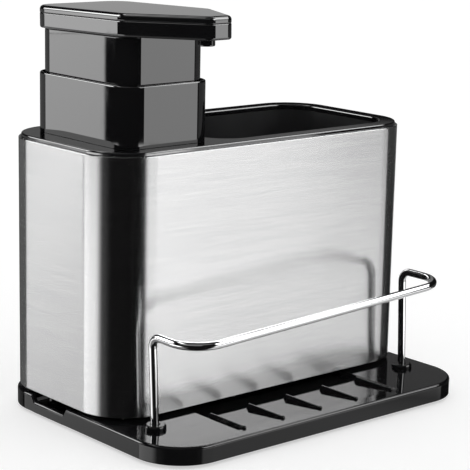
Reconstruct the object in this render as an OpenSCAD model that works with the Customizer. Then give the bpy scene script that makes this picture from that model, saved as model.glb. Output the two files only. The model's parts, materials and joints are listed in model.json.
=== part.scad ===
// Soap pump caddy: a brushed steel body with a rectangular press pump and a brush well,
// standing in a gloss black drip tray with drain ribs and a wire sponge rail.
// Millimetres, +Z up, +X along the long side, front (ribs, rail) towards -Y.

/* [Tray] */
// Length of the tray along X
tray_w = 175; // [150:1:220]
// Depth of the tray along Y
tray_d = 124.5; // [112:0.5:150]
// Height of the tray's outer wall
tray_h = 7.8; // [7.2:0.1:10]
// Plan radius of the tray's corners
tray_r = 22; // [12:1:26]
// Rounding of the tray's upper edge
tray_edge = 1; // [0.4:0.1:1.5]
// Thickness of the tray's walls and skins
tray_wall = 2.2; // [1.6:0.1:2.4]
// Height of the tray's wall above the table
foot_lift = 1.5; // [1:0.1:2.5]
// Depth of the open shelf in front of the body
shelf_d = 39.3; // [34:0.1:50]
// How far the shelf runs in below the body's front
shelf_under = 4; // [3:0.5:6]
// Width of the sloping drain panel
panel_w = 93; // [70:1:104]
// Distance from the tray's front edge to the top of the slope
panel_front = 6.6; // [5:0.1:9]
// Fall of the drain panel at the body's front
panel_drop = 1.75; // [1:0.05:2]
// Width of the pour notch in the left wall at its foot
notch_w = 21.4; // [12:0.1:26]
// Depth of the pour notch below the tray's edge
notch_d = 2.9; // [1.5:0.1:3.2]
// Run of the notch's sloping ends
notch_run = 3; // [1:0.1:4]

/* [Drain ribs] */
// Number of drain ribs
rib_n = 5; // [3:1:5]
// Distance between two ribs
rib_pitch = 21.6; // [14:0.1:22]
// Length of a rib
rib_l = 22; // [12:0.5:24]
// Height of a rib's ridge above the tray's edge
rib_rise = 1; // [0.6:0.1:1.4]
// Width of the rounded ridge
rib_ridge = 1.5; // [1:0.1:2]
// Width of a rib's foot at its tall end
rib_foot = 3.6; // [2.2:0.1:5]

/* [Wire rail] */
// Diameter of the rail's wire
wire_d = 3.5; // [3:0.1:3.6]
// Distance between the two posts
rail_w = 145.8; // [120:0.1:146]
// Height of the left post above its socket
rail_h = 38; // [28:0.5:50]
// Distance of the posts behind the tray's front edge
rail_back = 29.3; // [24:0.1:30]
// Distance of the front run behind the tray's front edge
rail_front = 2.3; // [2:0.1:5]
// Radius of the bend at the top of a post, at the wire's centre
post_bend = 5; // [3:0.5:8]
// Radius of the rail's front corners, at the wire's centre
rail_corner = 13.8; // [8:0.1:16]
// Lean of the rail, which climbs to the right, in degrees
rail_lean = 2.6; // [0:0.1:2.6]
// Diameter of the round socket boss
boss_d = 9.4; // [8:0.1:11]
// Height of the socket boss above the tray's edge
boss_h = 2.1; // [1.5:0.1:3]

/* [Body] */
// Length of the steel sleeve
body_w = 174; // [149:1:174]
// Depth of the steel sleeve
body_d = 84; // [78:0.5:84]
// Height of the steel sleeve
sleeve_h = 110.2; // [90:0.1:150]
// Plan radius of the sleeve's corners
body_r = 22; // [16:1:26]
// Thickness of the steel
steel_t = 0.6; // [0.5:0.1:0.8]
// Radius of the steel's rolled upper edge
roll_r = 1; // [0.8:0.1:1.6]
// Gap between the tray's edge and the steel
body_gap = 1.6; // [1:0.1:2.5]
// Height of the black rim above the steel
rim_rise = 1.8; // [1:0.1:3]
// Width of the flat land round the brush well
rim_land = 8.3; // [8:0.1:10]
// Thickness of the deck
deck_t = 2.4; // [2:0.1:3]
// Thickness of the black plastic walls inside
shell_t = 1.8; // [1.4:0.1:2]
// Plan radius of the brush well's corners
well_r = 15; // [10:1:18]
// Width of the deck between the pump collar and the well
bridge_w = 2.5; // [2.5:0.1:6]

/* [Pump] */
// Width of the pump collar
collar_w = 47; // [42:0.5:50]
// Depth of the pump collar
collar_d = 67; // [62:0.5:67]
// Height of the collar above its gasket
collar_h = 24.7; // [20:0.1:34]
// Plan radius of the collar's corners
collar_r = 9.5; // [8:0.5:10]
// Thickness of the collar's wall
collar_t = 2; // [1.6:0.1:2.2]
// Distance from the steel's left side to the collar
collar_side = 11.5; // [11:0.1:16]
// Thickness of the gasket below the collar
gasket_t = 1; // [0.8:0.1:1.5]
// Height of the press sleeve between collar and head at rest
press_gap = 19.4; // [18:0.1:26]
// Travel of the press head
stroke = 15; // [8:0.5:16]
// Thickness of the press sleeve's wall
press_t = 1.6; // [1.2:0.1:2]
// Running clearance round the press sleeve
press_clear = 0.3; // [0.2:0.05:0.5]

/* [Press head] */
// Width of the head
head_w = 47.4; // [44:0.1:52]
// Distance from the pump's centre to the head's back
head_back = 30.5; // [30:0.5:34]
// Distance from the pump's centre to the head's shoulders
head_shoulder = 28.2; // [27:0.1:34]
// Distance from the pump's centre to the nose
head_nose = 64.6; // [56:0.1:72]
// Width across the blunt nose
nose_w = 9.5; // [8:0.5:14]
// Height of the lower shell of the head
head_shell_h = 6.6; // [6.2:0.1:9]
// Height of the head's cover
head_cover_h = 3; // [2.8:0.1:4]
// Rounding of the cover's upper edge
head_edge = 1.2; // [0.6:0.1:1.4]
// Upward tilt of the head towards its nose, in degrees
head_tilt = 1.2; // [0:0.1:1.2]
// Distance from the nose to the nozzle's axis
nozzle_in = 8.6; // [8:0.1:12]
// Diameter of the nozzle tip
nozzle_d = 6.8; // [5.6:0.1:7.4]
// Height of the nozzle tip below the head
nozzle_h = 2; // [1.5:0.1:4]

/* [Pump works] */
// Outer diameter of the pump cylinder
cyl_d = 20; // [19:0.5:24]
// Bore of the pump cylinder
cyl_bore = 17; // [16:0.5:17]
// Depth of the cylinder below the collar's floor
cyl_h = 44; // [40:1:50]
// Diameter of the piston stem
stem_d = 8; // [7:0.5:8]
// Bore of the piston stem
stem_bore = 4; // [3:0.5:4]
// Length of the return spring at rest
spring_h = 24; // [22:0.5:25]
// Diameter of the spring's wire
spring_wire = 1.2; // [0.8:0.1:1.2]
// Turns of the return spring
spring_turns = 6; // [4:1:6]
// Diameter of the valve balls
ball_d = 5; // [4.6:0.1:5.2]
// Outer diameter of the dip tube
tube_d = 6; // [5:0.5:6.5]
// Bore of the dip tube
tube_bore = 4; // [3:0.5:4]

/* [Hidden] */
$fn = 96;

// Fits and overruns
cut = 1;
fit = 0.15;
seat_gap = 0.2;
run_gap = 0.3;
slide_fit = 0.05;

// Levels
z_wall = foot_lift;
z_tray = z_wall + tray_h;
z_sleeve = z_tray + body_gap;
z_steel = z_sleeve + sleeve_h;
z_rim = z_steel + rim_rise;
z_collar = z_rim + seat_gap + gasket_t;
z_mouth = z_collar + collar_h;
z_head = z_mouth + press_gap;
z_part = z_head + head_shell_h;

// Places in plan
tray_front = -tray_d / 2;
body_front = tray_front + shelf_d;
body_y = body_front + body_d / 2;
pump_x = -body_w / 2 + collar_side + collar_w / 2;
basin_front = body_front + shelf_under;
basin_back = tray_d / 2 - tray_wall;

// Tray
basin_floor = 2;
panel_y = tray_front + panel_front;
panel_slope = panel_drop / (body_front - panel_y);
hollow_top = z_tray - panel_slope * (basin_front - panel_y) - tray_wall;
notch_y = body_y + 4.3;
foot_d = 12;
foot_t = 2;
foot_in = 17;
foot_fit = 0.15;
socket_clear = 0.3;
socket_floor = 1.2;
boss_round = 0.8;

// Body
rim_in = roll_r + fit;
skirt_in = steel_t + fit;
skirt_h = 13;
base_up = 0.4;
base_t = 2;
base_lip = 5.5;
well_floor_z = z_sleeve + 9.1;
floor_t = 2;
well_set = 0.3;
well_flange = 2.2;
well_w = body_w - collar_side - collar_w - bridge_w - rim_land;
well_d = body_d - 2 * rim_land;
well_x = body_w / 2 - rim_land - well_w / 2;
plug_w = collar_w - 5;
plug_d = collar_d - 5;
plug_r = collar_r - 2.5;
plug_h = 12;
neck_clear = 0.25;
neck_set = 0.7;
tank_in = 3;
tank_top = z_steel - roll_r - skirt_h - 2.4;
tank_right = pump_x + plug_w / 2 + neck_set + shell_t;
pad_x = body_w / 2 - 24;
pad_y = body_d / 2 - 15;
pad_d = 15;
pad_lip = 1.2;
body_foot_d = 10;
body_foot_h = 3.3;
body_foot_in = 0.5;
screw_d = 3;
screw_head_d = 6;
screw_head_h = 1.6;
screw_boss_d = 8;
screw_left = pump_x;
screw_right = well_x + 20;
screw_y = 22;
drain_n = 4;
drain_l = 36;
drain_w = 3.2;
drain_pitch = 11;

// Pump
press_w = collar_w - 2 * collar_t - 2 * press_clear;
press_d = collar_d - 2 * collar_t - 2 * press_clear;
press_r = collar_r - collar_t - press_clear;
collar_floor = 2;
press_foot = z_collar + collar_floor + run_gap + stroke;
cyl_flange_d = 26;
cyl_flange_t = 2;
ring_t = 3.6;
cyl_top = z_collar + collar_floor + cyl_flange_t;
cyl_end = z_collar - cyl_h;
valve_top = 1.5;
valve_clear = 1.2;
ball_lift = 1.5;
seat_d = ball_d - 1.6;
seat_t = 2;
seat_rise = sqrt(pow(ball_d / 2, 2) - pow(seat_d / 2, 2));
valve_h = seat_rise + ball_d / 2 + ball_lift + fit;
valve_floor = cyl_end - valve_h;
cyl_neck_d = 11;
tube_grip = 8;
tube_top = valve_floor - seat_t;
tube_lift = 3;
seal_h = 4;
seal_z = cyl_end + valve_top + spring_h + fit;
spring_d = cyl_bore - 1.6;

// Head
head_floor = 1.8;
stem_top = z_head + head_floor;
head_wall = 1.8;
head_round = 6;
shoulder_round = 9;
nose_round = 1.8;
nose_inner = 1.2;
cover_skin = 1.4;
nozzle_y = body_y - head_nose + nozzle_in;
nozzle_bore = 3;
duct_w = 7;
duct_low = 0.1;
duct_h = 5.7;
duct_boss_d = 13;
valve_roof = 0.5;
outlet_seat = sqrt(pow(ball_d / 2, 2) - pow(stem_bore / 2, 2));

// Plan of a rounded rectangle
module rounded(w, d, r) {
    square([w - 2 * r, d], center = true);
    square([w, d - 2 * r], center = true);
    for (x = [-1, 1], y = [-1, 1])
        translate([x * (w / 2 - r), y * (d / 2 - r)]) circle(r);
}

// Straight prism over a rounded rectangle, from z0 to z1
module block(w, d, r, z0, z1) {
    translate([0, 0, z0]) linear_extrude(z1 - z0) rounded(w, d, r);
}

// A profile, drawn with x measured from the corner's centre, carried round a rounded rectangle
module swept(w, d, r) {
    for (s = [0:3]) {
        a = s % 2 == 0 ? w : d;
        b = s % 2 == 0 ? d : w;
        rotate([0, 0, 90 * s]) {
            translate([a / 2 - r, b / 2 - r, 0]) rotate_extrude(angle = 90) children();
            translate([a / 2 - r, b / 2 - r, 0]) rotate([90, 0, 0])
                linear_extrude(b - 2 * r) children();
        }
    }
}

// Prism over a rounded rectangle whose upper edge is rounded by e
module soft_block(w, d, r, z0, z1, e) {
    band = 2 * e;
    block(w - 2 * band, d - 2 * band, r - band, z0, z1);
    swept(w, d, r) {
        translate([r - band, z0]) square([band, z1 - z0 - e]);
        translate([r - band, z0]) square([band - e, z1 - z0]);
        intersection() {
            translate([r - e, z1 - e]) circle(e);
            translate([r - e, z1 - e]) square(e);
        }
    }
}

// Plan of the tray's inside, kept between two Y places
module tray_inside(y0, y1) {
    intersection() {
        rounded(tray_w - 2 * tray_wall, tray_d - 2 * tray_wall, tray_r - tray_wall);
        translate([-tray_w / 2, y0]) square([tray_w, y1 - y0]);
    }
}

// One drain rib: a level rounded ridge whose flanks run down to the sloping panel
module rib(x) {
    y0 = panel_y + rib_ridge / 2;
    y1 = y0 + rib_l;
    ridge_z = z_tray + rib_rise - rib_ridge / 2;
    foot_z = z_tray - panel_slope * (y1 - panel_y);
    hull() {
        translate([x, y0, ridge_z]) sphere(d = rib_ridge, $fn = 20);
        translate([x, y1, ridge_z]) sphere(d = rib_ridge, $fn = 20);
        translate([x, y0, z_tray]) cylinder(d = rib_ridge, h = basin_floor, center = true, $fn = 20);
        translate([x - rib_foot / 2, y1 - rib_ridge, foot_z - basin_floor / 2])
            cube([rib_foot, rib_ridge, basin_floor / 2]);
    }
}

module at_rail_ends() {
    for (s = [-1, 1]) translate([s * rail_w / 2, tray_front + rail_back, 0]) children();
}

module at_tray_feet() {
    for (x = [-1, 1], y = [-1, 1])
        translate([x * (tray_w / 2 - foot_in), y * (tray_d / 2 - foot_in), 0]) children();
}

module at_pads() {
    for (x = [-1, 1], y = [-1, 1]) translate([x * pad_x, body_y + y * pad_y, 0]) children();
}

module at_screws() {
    for (x = [screw_left, screw_right], y = [-1, 1]) translate([x, body_y + y * screw_y, 0]) children();
}

// Tray: front shelf with a drain panel, basin below the body, sockets for the rail
module tray() {
    foot_top = z_sleeve + base_up - body_foot_h + body_foot_in - seat_gap;
    color("#101012") difference() {
        union() {
            difference() {
                soft_block(tray_w, tray_d, tray_r, z_wall, z_tray, tray_edge);
                // basin below the body, its corners kept inside the body's
                translate([0, (basin_front + basin_back) / 2, 0])
                    block(tray_w - 2 * tray_wall, basin_back - basin_front, body_r - tray_wall,
                        z_wall + basin_floor, z_tray + cut);
                // hollow below the shelf
                translate([0, 0, z_wall - cut]) linear_extrude(hollow_top - z_wall + cut)
                    tray_inside(-tray_d / 2, basin_front - tray_wall);
                // drain panel, falling towards the body
                rotate([90, 0, 90]) linear_extrude(panel_w, center = true) polygon([
                    [panel_y, z_tray],
                    [basin_front + cut, z_tray - panel_slope * (basin_front + cut - panel_y)],
                    [basin_front + cut, z_tray + cut],
                    [panel_y, z_tray + cut]]);
                // pour notch in the left wall
                translate([-tray_w / 2 - cut, 0, 0]) rotate([90, 0, 90])
                    linear_extrude(tray_wall + 2 * cut) polygon([
                        [notch_y - notch_w / 2, z_tray - notch_d],
                        [notch_y + notch_w / 2, z_tray - notch_d],
                        [notch_y + notch_w / 2 + notch_run, z_tray + cut],
                        [notch_y - notch_w / 2 - notch_run, z_tray + cut]]);
            }
            for (i = [0:rib_n - 1]) rib((i - (rib_n - 1) / 2) * rib_pitch);
            // raised socket bosses, carried down to the table side
            at_rail_ends() {
                translate([0, 0, z_wall]) cylinder(d = boss_d, h = tray_h + boss_h - boss_round);
                translate([0, 0, z_wall]) cylinder(d = boss_d - 2 * boss_round, h = tray_h + boss_h);
                translate([0, 0, z_tray + boss_h - boss_round]) rotate_extrude()
                    translate([boss_d / 2 - boss_round, 0]) intersection() {
                        circle(boss_round);
                        square(boss_round);
                    }
            }
            // columns over the front feet
            intersection() {
                at_tray_feet() translate([0, 0, foot_t]) cylinder(d = foot_d + tray_wall, h = z_tray - foot_t - tray_wall);
                translate([-tray_w / 2, tray_front, 0]) cube([tray_w, shelf_d, z_tray]);
            }
            // seats for the body's feet, with a locating lip
            at_pads() translate([0, 0, z_wall]) cylinder(d = pad_d, h = foot_top - z_wall + pad_lip);
        }
        // rail sockets
        at_rail_ends() translate([0, 0, z_wall + socket_floor])
            cylinder(d = wire_d + 2 * socket_clear, h = tray_h + boss_h);
        // seats inside the lips
        at_pads() translate([0, 0, foot_top]) cylinder(d = body_foot_d + 2 * run_gap, h = tray_h);
        // pockets for the rubber feet
        at_tray_feet() translate([0, 0, z_wall - cut]) cylinder(d = foot_d + 2 * foot_fit, h = foot_t - z_wall + cut);
    }
}

module tray_feet() {
    color("#26262a") at_tray_feet() cylinder(d = foot_d, h = foot_t);
}

// A bend of the wire, of radius r, that starts along +Z and turns towards +X
module bend(r, angle) {
    translate([r, 0, 0]) rotate([90, 0, 0]) rotate([0, 0, 180 - angle])
        rotate_extrude(angle = angle) translate([r, 0]) circle(d = wire_d, $fn = 48);
}

module straight(l) {
    cylinder(d = wire_d, h = l, $fn = 48);
}

// Half of the rail: a leg below the socket's mouth, a post, an arm and half of the front run
module rail_half(leg, span) {
    arm = rail_back - rail_front - post_bend - rail_corner;
    translate([0, 0, -leg]) straight(leg + rail_h - post_bend);
    translate([0, 0, rail_h - post_bend]) rotate([0, 0, -90]) bend(post_bend, 90);
    translate([0, -post_bend, rail_h]) rotate([90, 0, 0]) straight(arm);
    translate([0, -post_bend - arm, rail_h]) rotate([90, 0, 0]) bend(rail_corner, 90);
    translate([rail_corner, -post_bend - arm - rail_corner, rail_h]) rotate([0, 90, 0])
        straight(span / 2 - rail_corner);
}

// Wire rail, leaning about the middle of its sockets so that it climbs to the right
module wire_rail() {
    span = rail_w * cos(rail_lean);
    left_leg = tray_h + boss_h - socket_floor - seat_gap;
    right_leg = left_leg + rail_w * sin(rail_lean);
    color("#e4e6e8")
        translate([-rail_w / 2, tray_front + rail_back, z_tray + boss_h - left_leg / 2])
            rotate([0, -rail_lean, 0]) translate([0, 0, left_leg / 2]) {
                rail_half(left_leg, span);
                translate([span, 0, 0]) mirror([1, 0, 0]) rail_half(right_leg, span);
            }
}

// Plate that closes the sleeve from below, with drain slots under the brush well
module base_plate() {
    z0 = z_sleeve + base_up;
    color("#151517") translate([0, body_y, 0]) difference() {
        union() {
            block(body_w - 2 * skirt_in, body_d - 2 * skirt_in, body_r - skirt_in, z0, z0 + base_t);
            difference() {
                block(body_w - 2 * skirt_in, body_d - 2 * skirt_in, body_r - skirt_in, z0, z0 + base_t + base_lip);
                block(body_w - 2 * (skirt_in + shell_t), body_d - 2 * (skirt_in + shell_t),
                    body_r - skirt_in - shell_t, z0, z0 + base_t + base_lip + cut);
            }
        }
        translate([0, -body_y, 0]) {
            at_screws() translate([0, 0, z0 - cut]) {
                cylinder(d = screw_d + 2 * fit, h = base_t + 2 * cut);
                cylinder(d = screw_head_d + 2 * fit, h = cut + screw_head_h - fit);
            }
            at_pads() translate([0, 0, z0 - cut]) cylinder(d = body_foot_d + 2 * foot_fit, h = cut + body_foot_in);
            drain_slots(z0 - cut, z0 + base_t + cut);
        }
    }
}

// Row of slots below the brush well
module drain_slots(z0, z1) {
    for (i = [0:drain_n - 1]) translate([well_x + (i - (drain_n - 1) / 2) * drain_pitch, body_y, z0])
        linear_extrude(z1 - z0) {
            square([drain_w, drain_l - drain_w], center = true);
            for (s = [-1, 1]) translate([0, s * (drain_l - drain_w) / 2]) circle(d = drain_w);
        }
}

module body_feet() {
    color("#26262a") at_pads() translate([0, 0, z_sleeve + base_up + body_foot_in - body_foot_h])
        cylinder(d = body_foot_d, h = body_foot_h);
}

// Screws from below, through the base plate into the tank and the well
module body_screws() {
    z0 = z_sleeve + base_up;
    color("#8d9196") at_screws() difference() {
        union() {
            translate([0, 0, z0]) cylinder(d = screw_head_d, h = screw_head_h - fit);
            translate([0, 0, z0]) cylinder(d = screw_d, h = well_floor_z - z0 - fit);
        }
        translate([0, 0, z0 - cut]) cylinder(d = screw_d, h = cut + screw_head_h / 2, $fn = 6);
    }
}

// Steel sleeve with an upper edge rolled inwards
module steel_sleeve() {
    inner = roll_r - steel_t;
    color("#c9cccf") translate([0, body_y, 0]) swept(body_w, body_d, body_r) {
        translate([body_r - steel_t, z_sleeve]) square([steel_t, sleeve_h - roll_r]);
        translate([body_r - roll_r, z_steel - roll_r]) intersection() {
            difference() {
                circle(roll_r);
                circle(inner);
            }
            square(roll_r);
        }
    }
}

// Rim, deck and skirt that close the sleeve from above
module top_frame() {
    w = body_w - 2 * rim_in;
    d = body_d - 2 * rim_in;
    r = body_r - rim_in;
    skirt_top = z_steel - roll_r - fit;
    inner = skirt_in + shell_t;
    color("#131315") translate([0, body_y, 0]) difference() {
        union() {
            soft_block(w, d, r, skirt_top - skirt_h, z_rim, rim_rise / 3);
            block(body_w - 2 * skirt_in, body_d - 2 * skirt_in, body_r - skirt_in,
                skirt_top - skirt_h, skirt_top);
        }
        block(body_w - 2 * inner, body_d - 2 * inner, body_r - inner,
            skirt_top - skirt_h - cut, skirt_top - shell_t);
        block(w - 2 * shell_t, d - 2 * shell_t, r - shell_t, skirt_top - shell_t - cut, z_rim - deck_t);
        translate([well_x, 0, 0]) block(well_w, well_d, well_r, z_rim - 2 * deck_t, z_rim + cut);
        translate([pump_x, 0, 0]) block(plug_w + 2 * neck_clear, plug_d + 2 * neck_clear,
            plug_r + neck_clear, z_rim - 2 * deck_t, z_rim + cut);
    }
}

// Brush well: an open cup under the deck, with drain slots in its floor
module brush_well() {
    w = well_w + 2 * well_set;
    d = well_d + 2 * well_set;
    r = well_r + well_set;
    top = z_rim - deck_t;
    color("#131315") difference() {
        union() {
            translate([well_x, body_y, 0]) {
                block(w + 2 * shell_t, d + 2 * shell_t, r + shell_t, well_floor_z, top);
                intersection() {
                    block(w + 2 * (shell_t + well_flange), d + 2 * (shell_t + well_flange),
                        r + shell_t + well_flange, top - shell_t, top);
                    translate([-w / 2 - shell_t, -body_d / 2, 0]) cube([body_w, body_d, z_rim]);
                }
            }
            at_screws() translate([0, 0, z_sleeve + base_up + base_t])
                cylinder(d = screw_boss_d, h = well_floor_z - z_sleeve - base_up - base_t + floor_t / 2);
        }
        translate([well_x, body_y, 0]) block(w, d, r, well_floor_z + floor_t, z_rim);
        at_screws() translate([0, 0, z_sleeve]) cylinder(d = screw_d, h = well_floor_z - z_sleeve);
        drain_slots(well_floor_z - cut, well_floor_z + floor_t + cut);
        // the tank carries its own screw bosses
        translate([-body_w, body_y - body_d / 2, 0]) cube([body_w + tank_right, body_d, z_rim]);
    }
}

// Plan of the tank's body, set in from the steel
module tank_plan(inset, right) {
    intersection() {
        rounded(body_w - 2 * inset, body_d - 2 * inset, body_r - inset);
        translate([-body_w / 2, -body_d / 2]) square([body_w / 2 + right, body_d]);
    }
}

// Soap tank, with a rectangular neck that meets the deck round the pump opening
module soap_tank() {
    neck_w = plug_w + 2 * neck_set;
    neck_d = plug_d + 2 * neck_set;
    neck_r = plug_r + neck_set;
    color("#d9dbd6") difference() {
        union() {
            translate([0, body_y, well_floor_z]) linear_extrude(tank_top - well_floor_z)
                tank_plan(tank_in, tank_right);
            translate([pump_x, body_y, 0])
                block(neck_w + 2 * shell_t, neck_d + 2 * shell_t, neck_r + shell_t, tank_top - shell_t, z_rim - deck_t);
            intersection() {
                at_screws() translate([0, 0, z_sleeve + base_up + base_t])
                    cylinder(d = screw_boss_d, h = well_floor_z - z_sleeve - base_up - base_t + floor_t / 2);
                translate([-body_w, -body_w, 0]) cube([body_w + tank_right, 2 * body_w, z_rim]);
            }
        }
        translate([0, body_y, well_floor_z + floor_t]) linear_extrude(tank_top - well_floor_z - floor_t - shell_t)
            tank_plan(tank_in + shell_t, tank_right - shell_t);
        translate([pump_x, body_y, 0]) block(neck_w, neck_d, neck_r, tank_top - 2 * shell_t, z_rim);
        at_screws() translate([0, 0, z_sleeve]) cylinder(d = screw_d, h = well_floor_z - z_sleeve);
    }
}

// Fixed collar: a rectangular sleeve with a floor for the cylinder and a plug for the neck
module pump_collar() {
    inner_w = collar_w - 2 * collar_t;
    inner_d = collar_d - 2 * collar_t;
    color("#18181a") translate([pump_x, body_y, 0]) difference() {
        union() {
            soft_block(collar_w, collar_d, collar_r, z_collar, z_mouth, collar_t / 4);
            block(plug_w, plug_d, plug_r, z_rim - plug_h, z_collar);
        }
        block(inner_w, inner_d, collar_r - collar_t, z_collar + collar_floor, z_mouth + cut);
        block(plug_w - 2 * shell_t, plug_d - 2 * shell_t, plug_r - shell_t, z_rim - plug_h - cut, z_collar);
        translate([0, 0, z_collar - cut]) cylinder(d = cyl_d + 2 * slide_fit, h = collar_floor + 2 * cut);
    }
}

module collar_gasket() {
    w = collar_w - collar_t / 2;
    d = collar_d - collar_t / 2;
    color("#0c0c0d") translate([pump_x, body_y, 0]) difference() {
        block(w, d, collar_r - collar_t / 4, z_collar - gasket_t, z_collar);
        block(plug_w, plug_d, plug_r, z_rim, z_collar + cut);
    }
}

// Pump cylinder with its flange, the intake valve's cage and the socket of the dip tube
module pump_cylinder() {
    color("#e9eaec") translate([pump_x, body_y, 0]) rotate_extrude() difference() {
        union() {
            translate([0, z_collar + collar_floor]) square([cyl_flange_d / 2, cyl_flange_t]);
            translate([0, cyl_end]) square([cyl_d / 2, cyl_top - cyl_end]);
            translate([0, tube_top - tube_grip]) square([cyl_neck_d / 2, cyl_end - tube_top + tube_grip]);
        }
        translate([0, cyl_end + valve_top]) square([cyl_bore / 2, cyl_h * 2]);
        translate([0, cyl_end - cut]) square([ball_d / 2 - 0.5 * fit, valve_top + 2 * cut]);
        translate([0, valve_floor]) square([(ball_d + valve_clear) / 2, valve_h]);
        translate([0, tube_top - cut]) square([seat_d / 2, seat_t + 2 * cut]);
        translate([0, tube_top - tube_grip - cut]) square([tube_d / 2 + slide_fit, tube_grip + cut]);
    }
}

// Ring that holds the piston in and guides the stem
module lock_ring() {
    color("#dfe1e3") translate([pump_x, body_y, cyl_top]) difference() {
        cylinder(d = cyl_flange_d, h = ring_t);
        translate([0, 0, -cut]) cylinder(d = stem_d + 4 * slide_fit, h = ring_t + 2 * cut);
    }
}

module dip_tube() {
    foot = well_floor_z + floor_t + tube_lift;
    color("#f2f3f2") translate([pump_x, body_y, foot]) difference() {
        cylinder(d = tube_d, h = tube_top - foot);
        translate([0, 0, -cut]) cylinder(d = tube_bore, h = tube_top - foot + 2 * cut);
    }
}

module intake_ball() {
    color("#b9bdc1") translate([pump_x, body_y, valve_floor + seat_rise + slide_fit]) sphere(d = ball_d, $fn = 48);
}

// Head parts are drawn level about the pump's axis and tilted together
module tilted() {
    translate([pump_x, body_y, z_head]) rotate([-head_tilt, 0, 0]) children();
}

// Space below the head's inclined underside
module below_head() {
    span = 2 * (head_nose + head_w);
    tilted() translate([-span / 2, -span / 2, -span]) cube([span, span, span]);
}

// Press sleeve, the moving rectangular tube below the head
module press_sleeve() {
    skin = press_t + head_back * sin(head_tilt);
    color("#18181a") difference() {
        intersection() {
            translate([pump_x, body_y, 0]) difference() {
                block(press_w, press_d, press_r, press_foot, z_head + collar_t);
                block(press_w - 2 * press_t, press_d - 2 * press_t, press_r - press_t,
                    press_foot - cut, z_head - skin);
            }
            below_head();
        }
        translate([pump_x, body_y, z_head - 2 * skin]) cylinder(d = stem_d + 2 * press_t, h = 4 * skin);
    }
}

// Corner circles of the head's plan: back corners, shoulders and the two sides of the nose
function head_corners(inset) =
    let (nose = max(nose_round, inset + nose_inner)) [
    [head_w / 2 - head_round, head_back - head_round, head_round - inset],
    [-head_w / 2 + head_round, head_back - head_round, head_round - inset],
    [-head_w / 2 + shoulder_round, -head_shoulder, shoulder_round - inset],
    [-nose_w / 2 + nose, -head_nose + nose, nose - inset],
    [nose_w / 2 - nose, -head_nose + nose, nose - inset],
    [head_w / 2 - shoulder_round, -head_shoulder, shoulder_round - inset]];

// The two points where the outer tangent of two corner circles touches them
function tangent(p, q) =
    let (dx = q[0] - p[0], dy = q[1] - p[1], l = norm([dx, dy]),
        n = atan2(dy, dx) - acos((p[2] - q[2]) / l))
    [[p[0] + p[2] * cos(n), p[1] + p[2] * sin(n)], [q[0] + q[2] * cos(n), q[1] + q[2] * sin(n)]];

module head_plan(inset) {
    c = head_corners(inset);
    polygon([for (i = [0:len(c) - 1]) each tangent(c[i], c[(i + 1) % len(c)])]);
    for (p = c) translate([p[0], p[1]]) circle(p[2]);
}

// Lower shell of the head, open towards its cover
module head_shell() {
    color("#0d0d0f") tilted() difference() {
        linear_extrude(head_shell_h) head_plan(0);
        translate([0, 0, head_floor]) linear_extrude(head_shell_h) head_plan(head_wall);
        translate([0, 0, -cut]) cylinder(d = stem_d + 2, h = head_floor + 2 * cut);
        translate([0, nozzle_y - body_y, -cut]) cylinder(d = nozzle_d - head_wall, h = head_floor + 2 * cut);
    }
}

// Cover of the head, its upper edge rounded all round
module head_cover() {
    color("#3c3c3f") tilted() translate([0, 0, head_shell_h]) difference() {
        hull() for (p = head_corners(0)) translate([p[0], p[1], 0]) {
            cylinder(r = p[2], h = head_cover_h - head_edge, $fn = 32);
            translate([0, 0, head_cover_h - head_edge]) rotate_extrude($fn = 32)
                translate([p[2] - head_edge, 0]) intersection() {
                    circle(head_edge, $fn = 24);
                    square(head_edge);
                }
        }
        translate([0, 0, -cut]) linear_extrude(cut + head_cover_h - cover_skin) head_plan(head_wall);
    }
}

// Round tip below the nose, with a stub through the shell's floor
module nozzle_tip() {
    color("#0d0d0f") tilted() translate([0, nozzle_y - body_y, 0]) difference() {
        union() {
            translate([0, 0, -nozzle_h]) cylinder(d = nozzle_d, h = nozzle_h);
            translate([0, 0, -fit]) cylinder(d = nozzle_d - head_wall - 2 * slide_fit, h = head_floor + fit);
        }
        translate([0, 0, -nozzle_h - cut]) cylinder(d = nozzle_bore, h = nozzle_h + head_floor + 2 * cut);
    }
}

// Channel in the head, from the stem's top to the nozzle, with the outlet valve's chamber
module spout_channel() {
    run = body_y - nozzle_y;
    low = head_floor + duct_low;
    bore_z = low + duct_h / 2;
    color("#e9eaec") tilted() difference() {
        union() {
            translate([0, 0, low]) cylinder(d = duct_boss_d, h = duct_h);
            translate([-duct_w / 2, -run, low]) cube([duct_w, run, duct_h]);
            translate([0, -run, low]) cylinder(d = duct_w, h = duct_h);
        }
        translate([0, 0, -cut]) cylinder(d = ball_d + valve_clear, h = cut + low + duct_h - valve_roof);
        translate([0, 0, bore_z]) rotate([90, 0, 0]) cylinder(d = nozzle_bore, h = run);
        translate([0, -run, -cut]) cylinder(d = nozzle_bore, h = cut + bore_z);
    }
}

module piston_stem() {
    color("#e9eaec") translate([pump_x, body_y, 0]) rotate_extrude() difference() {
        union() {
            translate([0, seal_z]) square([stem_d / 2, stem_top - seal_z]);
            translate([0, seal_z + seal_h]) square([cyl_bore / 2 - 2 * run_gap, press_t]);
        }
        translate([0, seal_z - cut]) square([stem_bore / 2, stem_top - seal_z + 2 * cut]);
    }
}

// Cup seal on the piston
module piston_seal() {
    color("#2b2b2e") translate([pump_x, body_y, 0]) rotate_extrude() difference() {
        translate([stem_d / 2, seal_z]) square([cyl_bore / 2 - slide_fit - stem_d / 2, seal_h]);
        translate([stem_d / 2 + press_t, seal_z - cut])
            square([cyl_bore / 2 - slide_fit - stem_d / 2 - 2 * press_t, cut + seal_h / 2]);
    }
}

module outlet_ball() {
    color("#b9bdc1") translate([pump_x, body_y, stem_top + outlet_seat + slide_fit]) sphere(d = ball_d, $fn = 48);
}

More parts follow.
